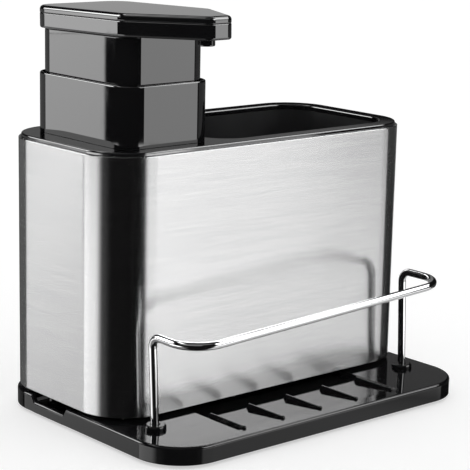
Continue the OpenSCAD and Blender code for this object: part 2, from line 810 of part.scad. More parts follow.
// Return spring: a round wire carried along a helix, as one closed skin
ring_pts = 6;
turn_pts = 22;
module return_spring() {
    z0 = cyl_end + valve_top + fit + spring_wire / 2;
    rise = spring_h - spring_wire - 2 * fit;
    n = spring_turns * turn_pts;
    r = (spring_d - spring_wire) / 2;
    pts = [for (i = [0:n], k = [0:ring_pts - 1])
        let (a = 360 * i / turn_pts, b = 360 * k / ring_pts, q = r + spring_wire / 2 * cos(b))
        [q * cos(a), q * sin(a), z0 + rise * i / n + spring_wire / 2 * sin(b)]];
    skin = [for (i = [0:n - 1], k = [0:ring_pts - 1])
        let (k2 = (k + 1) % ring_pts, a = i * ring_pts, b = a + ring_pts)
        each [[a + k, a + k2, b + k2], [a + k, b + k2, b + k]]];
    ends = [for (k = [1:ring_pts - 2])
        each [[0, k + 1, k], [n * ring_pts, n * ring_pts + k, n * ring_pts + k + 1]]];
    color("#c6c9cc") translate([pump_x, body_y, 0]) polyhedron(pts, concat(skin, ends));
}

tray();
tray_feet();
wire_rail();
base_plate();
body_feet();
body_screws();
steel_sleeve();
top_frame();
brush_well();
soap_tank();
pump_collar();
collar_gasket();
pump_cylinder();
lock_ring();
dip_tube();
intake_ball();
press_sleeve();
head_shell();
head_cover();
nozzle_tip();
spout_channel();
piston_stem();
piston_seal();
outlet_ball();
return_spring();
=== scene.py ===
import bpy
import json
import numpy as np
from math import radians, sin, cos, tan, pi
from mathutils import Matrix, Vector
from mathutils.geometry import delaunay_2d_cdt


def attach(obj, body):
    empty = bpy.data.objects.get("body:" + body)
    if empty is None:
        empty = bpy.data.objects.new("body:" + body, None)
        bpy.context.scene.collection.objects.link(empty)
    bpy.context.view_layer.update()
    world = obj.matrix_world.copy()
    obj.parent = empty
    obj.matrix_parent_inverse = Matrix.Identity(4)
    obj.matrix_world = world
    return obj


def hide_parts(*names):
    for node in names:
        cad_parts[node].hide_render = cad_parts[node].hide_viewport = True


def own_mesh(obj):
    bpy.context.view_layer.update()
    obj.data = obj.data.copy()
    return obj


print("stage: load the packed frame")
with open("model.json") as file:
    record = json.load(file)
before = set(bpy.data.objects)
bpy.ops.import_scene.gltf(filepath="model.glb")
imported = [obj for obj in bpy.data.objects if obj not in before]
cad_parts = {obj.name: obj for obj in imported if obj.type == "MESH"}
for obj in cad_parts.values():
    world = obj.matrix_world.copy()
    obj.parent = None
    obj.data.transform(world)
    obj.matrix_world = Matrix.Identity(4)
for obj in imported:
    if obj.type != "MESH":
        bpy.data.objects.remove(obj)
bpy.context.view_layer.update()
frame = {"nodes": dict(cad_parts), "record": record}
nodes = frame["nodes"]
millimetre = 0.001  # all shapes below are worked out in millimetres

layout = {
    "bodyY": 19.05,                   # the middle of body, rim, well and pump
    "pumpX": -52, "wellX": 26.35,
    "postX": 72.9, "postY": -32.95,   # the rail's posts stand this far to either side
    "headFoot": 168.2,                # height of the press head's underside on the pump's axis
    "headTilt": 1.2,                  # degrees, nose up
}

# the photograph's view
cameraSetup = {
    "place": (-0.48980, -0.56253, 0.24078),  # metres
    "yaw": 40.87,    # degrees from +Y towards +X
    "pitch": 12.47,  # degrees below the horizon
    "roll": 1.20,
    "lens": 131.27, "sensor": 36,
    "near": 0.01, "far": 50,
}


def makeCamera(setup):
    # ahead, right and up come from yaw and pitch, then right and up turn about ahead by the roll
    yaw, pitch, roll = (radians(setup[k]) for k in ("yaw", "pitch", "roll"))
    ahead = Vector((sin(yaw) * cos(pitch), cos(yaw) * cos(pitch), -sin(pitch)))
    level = Vector((cos(yaw), -sin(yaw), 0))
    above = level.cross(ahead)
    right = cos(roll) * level + sin(roll) * above
    up = cos(roll) * above - sin(roll) * level
    data = bpy.data.cameras.new("camera")
    data.lens, data.sensor_width = setup["lens"], setup["sensor"]
    data.clip_start, data.clip_end = setup["near"], setup["far"]
    camera = bpy.data.objects.new("camera", data)
    rows = [(right[i], up[i], -ahead[i], setup["place"][i]) for i in range(3)]
    camera.matrix_world = Matrix(rows + [(0, 0, 0, 1)])
    bpy.context.scene.collection.objects.link(camera)
    bpy.context.scene.camera = camera


print("stage: camera")
makeCamera(cameraSetup)


# Shapes as arrays: a line is a list of points, a skin is a grid of them, and a patch is (points, faces).

def unit(v):
    # every vector divided by its own length
    return v / np.linalg.norm(v, axis=-1, keepdims=True)


def softStep(t):
    # 0 up to 0, 1 from 1 on, and 3 t squared less 2 t cubed between them
    t = np.clip(t, 0, 1)
    return t * t * (3 - 2 * t)


def arcReach(over, radius):
    # how far a circle reaches at a distance over from its middle: the root of radius squared less over
    # squared
    over = np.clip(over, 0, radius)
    return np.sqrt(np.clip(radius ** 2 - over ** 2, 0, None))


def roundedLine(corners, steps=6, guard=0.2, closed=False):
    # every corner (x, y, radius) becomes an arc tangent to its two sides, which starts at radius / tan(half
    # angle) from the corner; a guard point just outside each end of the arc keeps flat sides shading flat
    corners = np.array(corners, float)
    spots, count = corners[:, :2], len(corners)
    rows = []
    for i, (spot, radius) in enumerate(zip(spots, corners[:, 2])):
        if radius == 0 or (not closed and i in (0, count - 1)):
            rows.append(spot[None])
            continue
        a, b = unit(spots[i - 1] - spot), unit(spots[(i + 1) % count] - spot)
        half = np.arccos(np.clip(a @ b, -1, 1)) / 2
        reach = radius / tan(half)
        centre = spot + unit(a + b) * radius / sin(half)
        turn = pi - 2 * half
        t = np.linspace(0, 1, steps + 1)[:, None]
        arc = centre + (np.sin((1 - t) * turn) * (spot + a * reach - centre)
                        + np.sin(t * turn) * (spot + b * reach - centre)) / sin(turn)
        rows += [spot[None] + a * (reach + guard), arc, spot[None] + b * (reach + guard)]
    return np.concatenate(rows)


def belt(circles, steps=20, guard=0.4, stops=None):
    # the belt round circles (x, y, radius), counter-clockwise: an arc on each circle, then a straight run to
    # the next one; gives the points and where they face, and stops = {run: shares along it} adds points
    circles = np.array(circles, float)
    ahead = np.roll(circles, -1, axis=0)
    gap = ahead - circles
    length = np.hypot(gap[:, 0], gap[:, 1])
    facing = np.arctan2(gap[:, 1], gap[:, 0]) - np.arccos((circles[:, 2] - ahead[:, 2]) / length)
    points, faces = [], []
    for i, (x, y, radius) in enumerate(circles):
        start, end = facing[i - 1], facing[i]
        angle = start + np.linspace(0, (end - start) % (2 * pi), steps + 1)
        faces.append(np.stack([np.cos(angle), np.sin(angle)], -1))
        points.append((x, y) + radius * faces[-1])
        side = np.array([np.cos(end), np.sin(end)])
        along = np.array([-side[1], side[0]])
        last, following = points[-1][-1], ahead[i, :2] + ahead[i, 2] * side
        run = np.linalg.norm(following - last)
        reach = [guard, *(np.array((stops or {}).get(i, [])) * run), run - guard]
        points.append(last + along * np.array(reach)[:, None])
        faces.append(np.repeat(side[None], len(reach), 0))
    return np.concatenate(points), np.concatenate(faces)


def cornerCircles(width, depth, radius, x=0, y=0):
    # the four corner circles of a rounded rectangle, counter-clockwise from the back right
    a, b = width / 2 - radius, depth / 2 - radius
    return [(x + a, y + b, radius), (x - a, y + b, radius), (x - a, y - b, radius), (x + a, y - b, radius)]


def pumpPlan(s):
    # the pump's rounded rectangle: it reaches further back than forward, with larger corners there
    x, y = layout["pumpX"], layout["bodyY"]
    circles = cornerCircles(s["width"], s["depth"] + s["back"], s["radius"], x, y + s["back"] / 2)
    more = s["backRadius"] - s["radius"]
    blunt = [(cx - more * np.sign(cx - x), cy - more, r + more) for cx, cy, r in circles[:2]]
    return blunt + circles[2:]


def sweep(loop, profile):
    # each profile point (inset, height) is carried round the loop, moved in from its line by the inset
    points, facing = loop
    profile = np.array(profile, float)
    plan = points[:, None] - facing[:, None] * profile[None, :, :1]
    height = np.broadcast_to(profile[None, :, 1:], plan.shape[:2] + (1,))
    return np.concatenate([plan, height], -1)


def spin(profile, x=0, y=0, steps=48):
    # each profile point (radius, height) turns once about a vertical axis through x, y
    profile = np.array(profile, float)
    angle = np.linspace(0, 2 * pi, steps, endpoint=False)[:, None]
    return np.stack([x + profile[:, 0] * np.cos(angle), y + profile[:, 0] * np.sin(angle),
                     np.broadcast_to(profile[:, 1], (steps, len(profile)))], -1)


def grid(points, roundU=True, roundV=False):
    # quads between the neighbours of a grid of points, which wraps round where it says so
    countU, countV = points.shape[:2]
    u, v = np.meshgrid(np.arange(countU if roundU else countU - 1),
                       np.arange(countV if roundV else countV - 1), indexing="ij")
    nextU, nextV = (u + 1) % countU, (v + 1) % countV
    quads = [u * countV + v, nextU * countV + v, nextU * countV + nextV, u * countV + nextV]
    return points.reshape(-1, 3), np.stack(quads, -1).reshape(-1, 4)


def cap(ring, up=True):
    # one flat face over a ring of points
    row = np.arange(len(ring))[None]
    return ring, row if up else row[:, ::-1]


def insideLoop(spots, loop):
    # a spot is inside where a line from it towards +X crosses the loop an odd number of times
    a, b = loop, np.roll(loop, -1, axis=0)
    x, y = spots[:, 0:1], spots[:, 1:2]
    spans = (a[:, 1] > y) != (b[:, 1] > y)
    rise = np.where(b[:, 1] == a[:, 1], 1, b[:, 1] - a[:, 1])
    crossing = a[:, 0] + (y - a[:, 1]) * (b[:, 0] - a[:, 0]) / rise
    return (spans & (x < crossing)).sum(1) % 2 == 1


def fill(outer, holes, up=True):
    # triangles between a flat ring and the rings of its holes: all triangles between the given points whose
    # middle is inside the ring and in no hole, each turned to face the same way
    sameSpot = 1e-7
    rings = [outer, *holes]
    points = np.concatenate(rings)
    starts = np.cumsum([0] + [len(ring) for ring in rings])
    edges = [(start + i, start + (i + 1) % len(ring))
             for start, ring in zip(starts, rings) for i in range(len(ring))]
    flat = [Vector(spot) for spot in points[:, :2].tolist()]
    made = delaunay_2d_cdt(flat, edges, [], 0, sameSpot)
    spots, faces = np.array([tuple(v) for v in made[0]]), np.array([tuple(f) for f in made[2]])
    middle = spots[faces].mean(1)
    keep = insideLoop(middle, outer[:, :2])
    for hole in holes:
        keep &= ~insideLoop(middle, hole[:, :2])
    a, b, c = (spots[faces[:, i]] for i in range(3))
    turned = np.cross(b - a, c - a) < 0
    faces[turned] = faces[turned][:, ::-1]
    given = np.array([row[0] for row in made[3]])  # which of the given points each spot is
    return points[given], faces[keep] if up else faces[keep][:, ::-1]


def tube(path, radius, steps=20):
    # circles of one radius stand square to a path; their turn is set by a direction that it never takes
    never = (1, 1, 1)
    ahead = unit(np.gradient(path, axis=0))
    side = unit(np.cross(ahead, never))
    other = np.cross(side, ahead)
    angle = np.linspace(0, 2 * pi, steps, endpoint=False)[None, :, None]
    return path[:, None] + radius * (np.cos(angle) * side[:, None] + np.sin(angle) * other[:, None])


def tubePatches(path, radius, steps=20):
    # the tube's skin, turned to face outwards, and its two flat ends
    rings = tube(path, radius, steps)
    points, faces = grid(rings.transpose(1, 0, 2))
    return [(points, faces[:, ::-1]), cap(rings[0]), cap(rings[-1], up=False)]


def moved(patch, change):
    # the same faces over points that a function has moved
    return change(patch[0]), patch[1]


def makePiece(name, patches, body, node, material, sharp=32, uv=None):
    # the patches become one mesh: points that coincide are one, and a quad with two equal corners is a
    # triangle; then the piece is named to the frame
    finest = 5000  # steps in a millimetre: points in the same step coincide
    points = np.concatenate([p for p, f in patches])
    starts = np.cumsum([0] + [len(p) for p, f in patches])
    keys, first, back = np.unique(np.round(points * finest).astype(np.int64), axis=0,
                                  return_index=True, return_inverse=True)
    back = back.reshape(-1)
    faces = []
    for start, (p, f) in zip(starts, patches):
        rows = back[f + start]
        same = rows == np.roll(rows, -1, axis=1)
        doubles = same.sum(1)
        faces += rows[doubles == 0].tolist()
        if rows.shape[1] == 4:
            faces += rows[doubles == 1][~same[doubles == 1]].reshape(-1, 3).tolist()
    mesh = bpy.data.meshes.new(name)
    mesh.from_pydata((points[first] * millimetre).tolist(), [], faces)
    mesh.update()
    if uv is not None:
        spots = np.empty(len(mesh.loops), np.int32)
        mesh.loops.foreach_get("vertex_index", spots)
        layer = mesh.uv_layers.new(name="run")
        layer.data.foreach_set("uv", uv(points[first][spots]).astype(np.float32).ravel())
    mesh.shade_smooth()
    mesh.set_sharp_from_angle(angle=radians(sharp))
    mesh.materials.append(material)
    piece = bpy.data.objects.new(name, mesh)
    bpy.context.scene.collection.objects.link(piece)
    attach(piece, body)
    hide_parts(node)
    return piece


class Nodes:
    # short names for the steps of a node tree: add gives the step itself, the others its output
    def __init__(self, tree):
        self.tree = tree
        self.link = tree.links.new

    def add(self, kind, **settings):
        # a new step, with its settings
        step = self.tree.nodes.new("ShaderNode" + kind)
        for key, value in settings.items():
            setattr(step, key, value)
        return step

    def feed(self, socket, value):
        # a socket takes a number or colour as it is, and anything else through a link
        if isinstance(value, (int, float, tuple)):
            socket.default_value = value
        else:
            self.link(value, socket)

    def math(self, operation, *values):
        # one arithmetic step on numbers or outputs
        step = self.add("Math", operation=operation)
        for socket, value in zip(step.inputs, values):
            self.feed(socket, value)
        return step.outputs[0]

    def span(self, value, low, high, lowTo=0.0, highTo=1.0, kind="SMOOTHSTEP"):
        # low becomes lowTo and high becomes highTo, with no change outside them
        step = self.add("MapRange", interpolation_type=kind)
        for key, number in (("From Min", low), ("From Max", high), ("To Min", lowTo), ("To Max", highTo)):
            step.inputs[key].default_value = number
        self.link(value, step.inputs["Value"])
        return step.outputs["Result"]

    def place(self, scale):
        # object coordinates, stretched by scale
        spot = self.add("TexCoord")
        stretch = self.add("Mapping")
        stretch.inputs["Scale"].default_value = scale
        self.link(spot.outputs["Object"], stretch.inputs["Vector"])
        return stretch.outputs["Vector"]

    def noise(self, scale, detail=2.0, stretch=(1, 1, 1), fineness=0.5):
        # cells per metre, how many finer layers, and how strong each is beside the one before
        step = self.add("TexNoise")
        self.link(self.place(stretch), step.inputs["Vector"])
        step.inputs["Scale"].default_value = scale
        step.inputs["Detail"].default_value = detail
        step.inputs["Roughness"].default_value = fineness
        return step.outputs["Fac"]

    def blend(self, share, first, second):
        # the first colour where share is 0, the second where it is 1
        step = self.add("Mix", data_type="RGBA")
        self.feed(step.inputs["Factor"], share)
        step.inputs["A"].default_value = (*first, 1)
        step.inputs["B"].default_value = (*second, 1)
        return step.outputs["Result"]

    def bump(self, height, strength, distance):
        # the skin's tilt under a height from 0 to 1, which stands for a distance in metres
        step = self.add("Bump")
        step.inputs["Strength"].default_value = strength
        step.inputs["Distance"].default_value = distance
        self.link(height, step.inputs["Height"])
        return step.outputs["Normal"]


def startMaterial(name, metal=0.0, ior=1.5):
    # a material with its plain values set, its shader and its node tree's short names
    material = bpy.data.materials.new(name)
    material.use_nodes = True
    shader = material.node_tree.nodes["Principled BSDF"]
    shader.inputs["Metallic"].default_value = metal
    shader.inputs["IOR"].default_value = ior
    return material, shader, Nodes(material.node_tree)


# In every finish a range is the part of the noise over which a value goes from its first to its second
# end, rough is the roughness at those ends, grain is how strongly the noise tilts the skin, and height is
# its depth in metres.

glossSetup = {
    "deep": (0.004, 0.004, 0.0045), "shallow": (0.009, 0.009, 0.0095),
    "cloud": {"scale": 38, "detail": 4},
    "smear": {"scale": 120, "detail": 6, "stretch": (1, 1, 0.35), "fineness": 0.62},
    "smearRange": (0.42, 0.78), "rough": (0.01, 0.035),
    "waves": {"scale": 70, "detail": 1.5}, "grain": 0.0008, "height": 0.002,
    "trayIor": 1.5, "pumpIor": 2.2,
}


def glossBlack(name, ior, s):
    # polished moulded black: large soft waves tilt the skin a little, and its roughness varies with handling
    material, shader, n = startMaterial(name, ior=ior)
    cloud = n.noise(**s["cloud"])
    n.link(n.blend(cloud, s["deep"], s["shallow"]), shader.inputs["Base Color"])
    smear = n.noise(**s["smear"])
    n.link(n.span(smear, *s["smearRange"], *s["rough"]), shader.inputs["Roughness"])
    waves = n.noise(**s["waves"])
    n.link(n.bump(waves, s["grain"], s["height"]), shader.inputs["Normal"])
    return material


steelSetup = {
    "dark": (0.60, 0.60, 0.605), "light": (0.66, 0.66, 0.66), "colourRange": (0.35, 0.65),
    "fine": {"scale": 1000, "detail": 2, "stretch": (0.05, 0.05, 2.2), "fineness": 0.6},
    "coarse": {"scale": 500, "detail": 3, "stretch": (0.03, 0.03, 1.4), "fineness": 0.6},
    "fineShare": 0.6,
    "roughRange": (0.3, 0.7), "rough": (0.21, 0.24), "grain": 0.009, "height": 0.00012,
    "anisotropic": 0.92, "turn": 0.25,  # a quarter turn: the gloss is drawn out up and down
}


def brushedSteel(name, s):
    # brushing along the sheet: noise drawn out along X and Y and fine along Z sets colour, roughness and tilt
    material, shader, n = startMaterial(name, metal=1.0)
    fine = n.noise(**s["fine"])
    coarse = n.noise(**s["coarse"])
    both = n.math("ADD", n.math("MULTIPLY", fine, s["fineShare"]),
                  n.math("MULTIPLY", coarse, 1 - s["fineShare"]))
    n.link(n.blend(n.span(both, *s["colourRange"]), s["dark"], s["light"]), shader.inputs["Base Color"])
    n.link(n.span(both, *s["roughRange"], *s["rough"]), shader.inputs["Roughness"])
    n.link(n.bump(both, s["grain"], s["height"]), shader.inputs["Normal"])
    shader.inputs["Anisotropic"].default_value = s["anisotropic"]
    shader.inputs["Anisotropic Rotation"].default_value = s["turn"]
    run = n.add("Tangent", direction_type="UV_MAP", uv_map="run")
    n.link(run.outputs[0], shader.inputs["Tangent"])
    return material


chromeSetup = {
    "dark": (0.86, 0.865, 0.87), "light": (0.95, 0.95, 0.955),
    "marks": {"scale": 420, "detail": 3, "stretch": (1, 1, 0.25)},
    "markRange": (0.3, 0.7), "rough": (0.03, 0.09), "grain": 0.02, "height": 0.0002,
}

drawnSetup = {
    "dark": (0.5, 0.505, 0.51), "light": (0.66, 0.665, 0.67),
    "marks": {"scale": 800, "detail": 2, "stretch": (0.2, 0.2, 2)},
    "markRange": (0.3, 0.7), "rough": (0.18, 0.34), "grain": 0.05, "height": 0.0001,
}


def markedMetal(name, s):
    # bright metal whose marks set its colour, roughness and height: faint ones drawn out along Z on chrome,
    # and fine rings across Z on drawn wire and turned parts
    material, shader, n = startMaterial(name, metal=1.0)
    marks = n.noise(**s["marks"])
    n.link(n.blend(marks, s["dark"], s["light"]), shader.inputs["Base Color"])
    n.link(n.span(marks, *s["markRange"], *s["rough"]), shader.inputs["Roughness"])
    n.link(n.bump(marks, s["grain"], s["height"]), shader.inputs["Normal"])
    return material


satinSetup = {
    "slow": {"scale": 60, "detail": 3}, "slowRange": (0.3, 0.7),
    "fine": {"scale": 1400, "detail": 2}, "height": 0.0002,
    "kinds": {  # dark, light, roughness low and high, grain
        "wellBlack": ((0.019, 0.019, 0.020), (0.026, 0.026, 0.027), (0.30, 0.42), 0.08),
        "matteBlack": ((0.016, 0.016, 0.017), (0.024, 0.024, 0.025), (0.45, 0.6), 0.15),
        "softRubber": ((0.018, 0.018, 0.019), (0.03, 0.03, 0.032), (0.6, 0.8), 0.25),
        "tankPlastic": ((0.66, 0.67, 0.63), (0.74, 0.75, 0.71), (0.35, 0.5), 0.1),
        "whitePlastic": ((0.74, 0.75, 0.76), (0.82, 0.83, 0.84), (0.3, 0.42), 0.06),
    },
}


def satinPlastic(name, s):
    # plain moulded plastic: a fine even texture, with slow changes of colour and gloss
    dark, light, rough, grain = s["kinds"][name]
    material, shader, n = startMaterial(name)
    slow, fine = n.noise(**s["slow"]), n.noise(**s["fine"])
    n.link(n.blend(slow, dark, light), shader.inputs["Base Color"])
    n.link(n.span(slow, *s["slowRange"], *rough), shader.inputs["Roughness"])
    n.link(n.bump(fine, grain, s["height"]), shader.inputs["Normal"])
    return material


print("stage: materials")
trayBlack = glossBlack("trayBlack", glossSetup["trayIor"], glossSetup)
pumpBlack = glossBlack("pumpBlack", glossSetup["pumpIor"], glossSetup)
sleeveSteel = brushedSteel("sleeveSteel", steelSetup)
railChrome = markedMetal("railChrome", chromeSetup)
satin = {kind: satinPlastic(kind, satinSetup) for kind in satinSetup["kinds"]}
springSteel = markedMetal("springSteel", drawnSetup)
slotFinish = {
    "black_gloss": pumpBlack, "black_matte": satin["matteBlack"], "brushed_steel": springSteel,
    "chrome": railChrome, "rubber": satin["softRubber"], "spring_steel": springSteel,
    "tank_plastic": satin["tankPlastic"], "white_plastic": satin["whitePlastic"],
}
# every node of the frame gets the finish of its slot
for part in frame["record"]["subparts"]:
    mesh = nodes[part["node"]].data
    finish = slotFinish[part["material_slot"]]
    if not mesh.materials:
        mesh.materials.append(finish)
    for i in range(len(mesh.materials)):
        mesh.materials[i] = finish


trayShape = {
    "width": 175, "depth": 124.5, "radius": 22, "foot": 1.5, "top": 9.3, "wall": 2.2, "floor": 3.5,
    "edge": 1.3, "innerEdge": 0.35, "footEdge": 0.35, "innerFootEdge": 0.3,
    "tuck": 1.15,            # the shelf's edge stays this far inside the outline, within the wall
    "lift": 0.008,           # keeps the shelf's face off the wall's
    "skin": 2.2,             # thickness of the shelf
    "basinFront": -18.95, "basinRadius": 19.8, "basinEdge": 0.5, "basinTuck": 0.5,
    "panelWidth": 93, "panelFront": -55.65, "panelSlope": 1.75 / 32.7, "panelStep": 0.6,
    "notchMiddle": 23.35, "notchHalf": 10.7, "notchRun": 2.5, "notchDepth": 2.9, "notchSoft": 1.2,
}


def notchFall(y, s):
    # the wall's top falls by the notch's depth between two soft ramps
    inside = s["notchHalf"] + s["notchRun"] - np.abs(y - s["notchMiddle"])
    return s["notchDepth"] * softStep(inside / s["notchRun"])


def shelfHeight(x, y, s):
    # level, but for the drain panel, which falls evenly from its front line; its sides are short soft steps
    fall = s["panelSlope"] * np.clip(y - s["panelFront"], 0, None)
    inside = s["panelWidth"] / 2 + s["panelStep"] / 4 - np.abs(x)
    return s["top"] + s["lift"] - fall * softStep(inside / s["panelStep"])


def trayWall(s):
    # a closed ring: up the outside, over the rounded top, down the inside and back below; on the left its
    # points sink by the notch's fall, in proportion to their height
    reach = s["notchHalf"] + s["notchRun"] * np.linspace(0, 1, 12)
    notch = np.concatenate([s["notchMiddle"] + reach[::-1], s["notchMiddle"] - reach])
    run = s["depth"] - 2 * s["radius"]
    leftRun, hair = 1, 0.01
    stops = {leftRun: (run / 2 - notch) / run}
    loop = belt(cornerCircles(s["width"], s["depth"], s["radius"]), 28, guard=0.5, stops=stops)
    profile = roundedLine([(0, s["foot"], s["footEdge"]), (0, s["top"], s["edge"]),
                           (s["wall"], s["top"], s["innerEdge"]),
                           (s["wall"], s["foot"], s["innerFootEdge"])], 7, guard=0.12, closed=True)
    ring = sweep(loop, profile)
    left = ring[..., 0] < -s["width"] / 2 + s["wall"] + hair
    fallen = s["top"] - s["notchDepth"] - s["notchSoft"]
    share = np.clip((ring[..., 2] - s["foot"]) / (fallen - s["foot"]), 0, 1)
    ring[..., 2] -= np.where(left, notchFall(ring[..., 1], s) * share, 0)
    return [grid(ring, roundV=True)]


def trayShelf(s):
    # a slab: its cross-section runs back over the top, round the basin's edge and forward below, and x runs
    # from end to end; its front line follows the corners' arcs, its back line the basin's
    radius = s["radius"] - s["tuck"]
    flat = s["width"] / 2 - s["radius"]
    bow = radius * np.sin(np.linspace(-pi / 2, 0, 16))
    # close lines where the panel's side steps down
    step = s["panelWidth"] / 2 + np.array([0.4, 0.15, 0, -0.15, -0.3, -0.45, -0.6])
    x = np.concatenate([-flat + bow, -step, np.linspace(-40, 40, 9), step[::-1], flat - bow[::-1]])
    over = np.abs(x) - flat
    front = s["radius"] - s["depth"] / 2 - arcReach(over, radius)
    back = s["basinFront"] + s["basinRadius"] - arcReach(over, s["basinRadius"])
    start = s["depth"] / 2 - s["tuck"]
    whole, crease, near = s["basinFront"] + start, s["panelFront"] + start, 0.3
    # lines across the shelf: its front, close to the crease where the panel starts, down the panel, its edge
    share = np.array([0, crease - near, crease, crease + near, 12, 20, 28, whole - 0.8]) / whole
    turn = np.linspace(0, pi / 2, 5)
    ends = (len(share), len(share) + 1)
    t = np.concatenate([share, np.ones(len(turn) + 1), share[::-1]])
    lipY = np.pad(s["basinEdge"] * (np.sin(turn) - 1), ends)
    lipZ = np.pad(s["basinEdge"] * (np.cos(turn) - 1), ends, constant_values=(0, -s["skin"]))
    y = front[:, None] + t * (back - front)[:, None] + lipY
    wide = np.broadcast_to(x[:, None], y.shape)
    slab = np.stack([wide, y, shelfHeight(wide, y, s) + lipZ], -1)
    return [grid(slab, roundU=False, roundV=True), cap(slab[0]), cap(slab[-1], up=False)]


def trayBasin(s):
    # the basin's floor, a thin rounded slab whose edge stays inside the walls
    tuck = s["basinTuck"]
    width, depth = s["width"] - 2 * s["wall"], s["depth"] / 2 - s["wall"] - s["basinFront"]
    loop = belt(cornerCircles(width + 2 * tuck, depth + 2 * tuck, s["basinRadius"] + tuck,
                              0, s["basinFront"] + depth / 2), 16)
    ring = sweep(loop, [(0, s["foot"]), (0, s["floor"])])
    return [grid(ring), cap(ring[:, 1]), cap(ring[:, 0], up=False)]


ribShape = {
    "count": 5, "pitch": 21.6, "length": 22, "rise": 1.0, "ridge": 1.5, "foot": 3.6,
    "heel": 0.4,                       # rounding of the tall end
    "sink": 0.5,                       # the feet go this far into the shelf
    "ball": 1.0, "ballLow": 0.8,       # a ball at the nose: its radius, and how much of it is below the ridge
    "ballBack": 0.2,
}


def drainRib(middle, s, r):
    # cross-sections along Y: from a foot up a flank, which leans by arcsin(spare width / rise), over the
    # round ridge and down; the small end is a round nose, and the feet spread evenly towards the tall end
    radius, heel = r["ridge"] / 2, r["heel"]
    start = s["panelFront"] + radius
    run = r["length"] - heel
    tip = 1e-3  # share of the size left at the very tip
    nose = np.linspace(0, pi / 2, 8)
    bend = nose[1:]
    y = np.concatenate([start - radius * np.cos(nose), start + np.linspace(0.1, 1, 12) * run,
                        start + run + heel * np.sin(bend)])
    size = np.concatenate([np.sin(nose) + tip, np.ones(12), 1 - heel / radius * (1 - np.cos(bend))])[:, None]
    spread = np.clip((y - start) / r["length"], 0, 1)[:, None]
    foot = (radius + spread * (r["foot"] / 2 - radius)) * size
    low = (shelfHeight(0 * y, y, s) - r["sink"])[:, None]
    ridge = s["top"] + r["rise"] - radius
    lean = np.arcsin(np.clip((foot - radius * size) / (ridge - low), -0.9, 0.9))
    angle = np.linspace(-1, 1, 13) * (pi / 2 - lean)
    x = np.concatenate([-foot, radius * size * np.sin(angle), foot], 1)
    z = np.concatenate([low, ridge + radius * size * np.cos(angle), low], 1)
    section = np.stack([middle + x, np.broadcast_to(y[:, None], x.shape), z], -1)
    turn = np.linspace(-pi / 2, pi / 2, 15)
    height = s["top"] + r["rise"] - r["ballLow"] * r["ball"]
    ball = np.stack([r["ball"] * np.cos(turn), height + r["ball"] * np.sin(turn)], -1)
    ball[[0, -1], 0] = 0
    return [grid(section.transpose(1, 0, 2), roundU=False), cap(section[0][::-1]), cap(section[-1]),
            grid(spin(ball, middle, start + r["ballBack"], 24))]


socketShape = {"diameter": 9.4, "rise": 2.1, "round": 1.1, "bore": 4.1, "mouth": 0.35, "floor": 2.7}


def railSocket(x, y, s, b):
    # a raised boss with a rounded lip, then down into the socket
    top, radius = s["top"] + b["rise"], b["diameter"] / 2
    line = roundedLine([(0, s["foot"], 0), (radius, s["foot"], 0), (radius, top, b["round"]),
                        (b["bore"] / 2, top, b["mouth"]), (b["bore"] / 2, b["floor"], 0),
                        (0, b["floor"], 0)], 7, guard=0.1)
    return [grid(spin(line, x, y, 64))]


seatShape = {"x": 63, "y": 27, "radius": 7.5, "hole": 5.3, "foot": 1.7, "top": 9.9, "floor": 8.7,
             "edge": 0.3, "holeEdge": 0.2}


def footSeat(x, y, b):
    # a low round post in the basin, with a dish on top that locates one of the body's feet
    line = roundedLine([(0, b["foot"], 0), (b["radius"], b["foot"], 0), (b["radius"], b["top"], b["edge"]),
                        (b["hole"], b["top"], b["holeEdge"]), (b["hole"], b["floor"], 0),
                        (0, b["floor"], 0)], 4, guard=0.1)
    return [grid(spin(line, x, y, 40))]


print("stage: drip tray")
trayPatches = trayWall(trayShape) + trayShelf(trayShape) + trayBasin(trayShape)
for i in range(ribShape["count"]):
    trayPatches += drainRib((i - (ribShape["count"] - 1) / 2) * ribShape["pitch"], trayShape, ribShape)
for side in (-1, 1):
    trayPatches += railSocket(side * layout["postX"], layout["postY"], trayShape, socketShape)
    for end in (-1, 1):
        trayPatches += footSeat(side * seatShape["x"], layout["bodyY"] + end * seatShape["y"], seatShape)
makePiece("trayMoulding", trayPatches, "tray", "tray", trayBlack)


railShape = {
    "wire": 3.5, "height": 38, "bend": 5, "corner": 13.8,
    "front": 2.3,            # from the tray's front line to the middle of the front run
    "lean": 2.6,             # degrees, to the left
    "mouth": 11.4,           # height at which the left post leaves its socket
    "leg": 8.5,              # length inside the socket
}


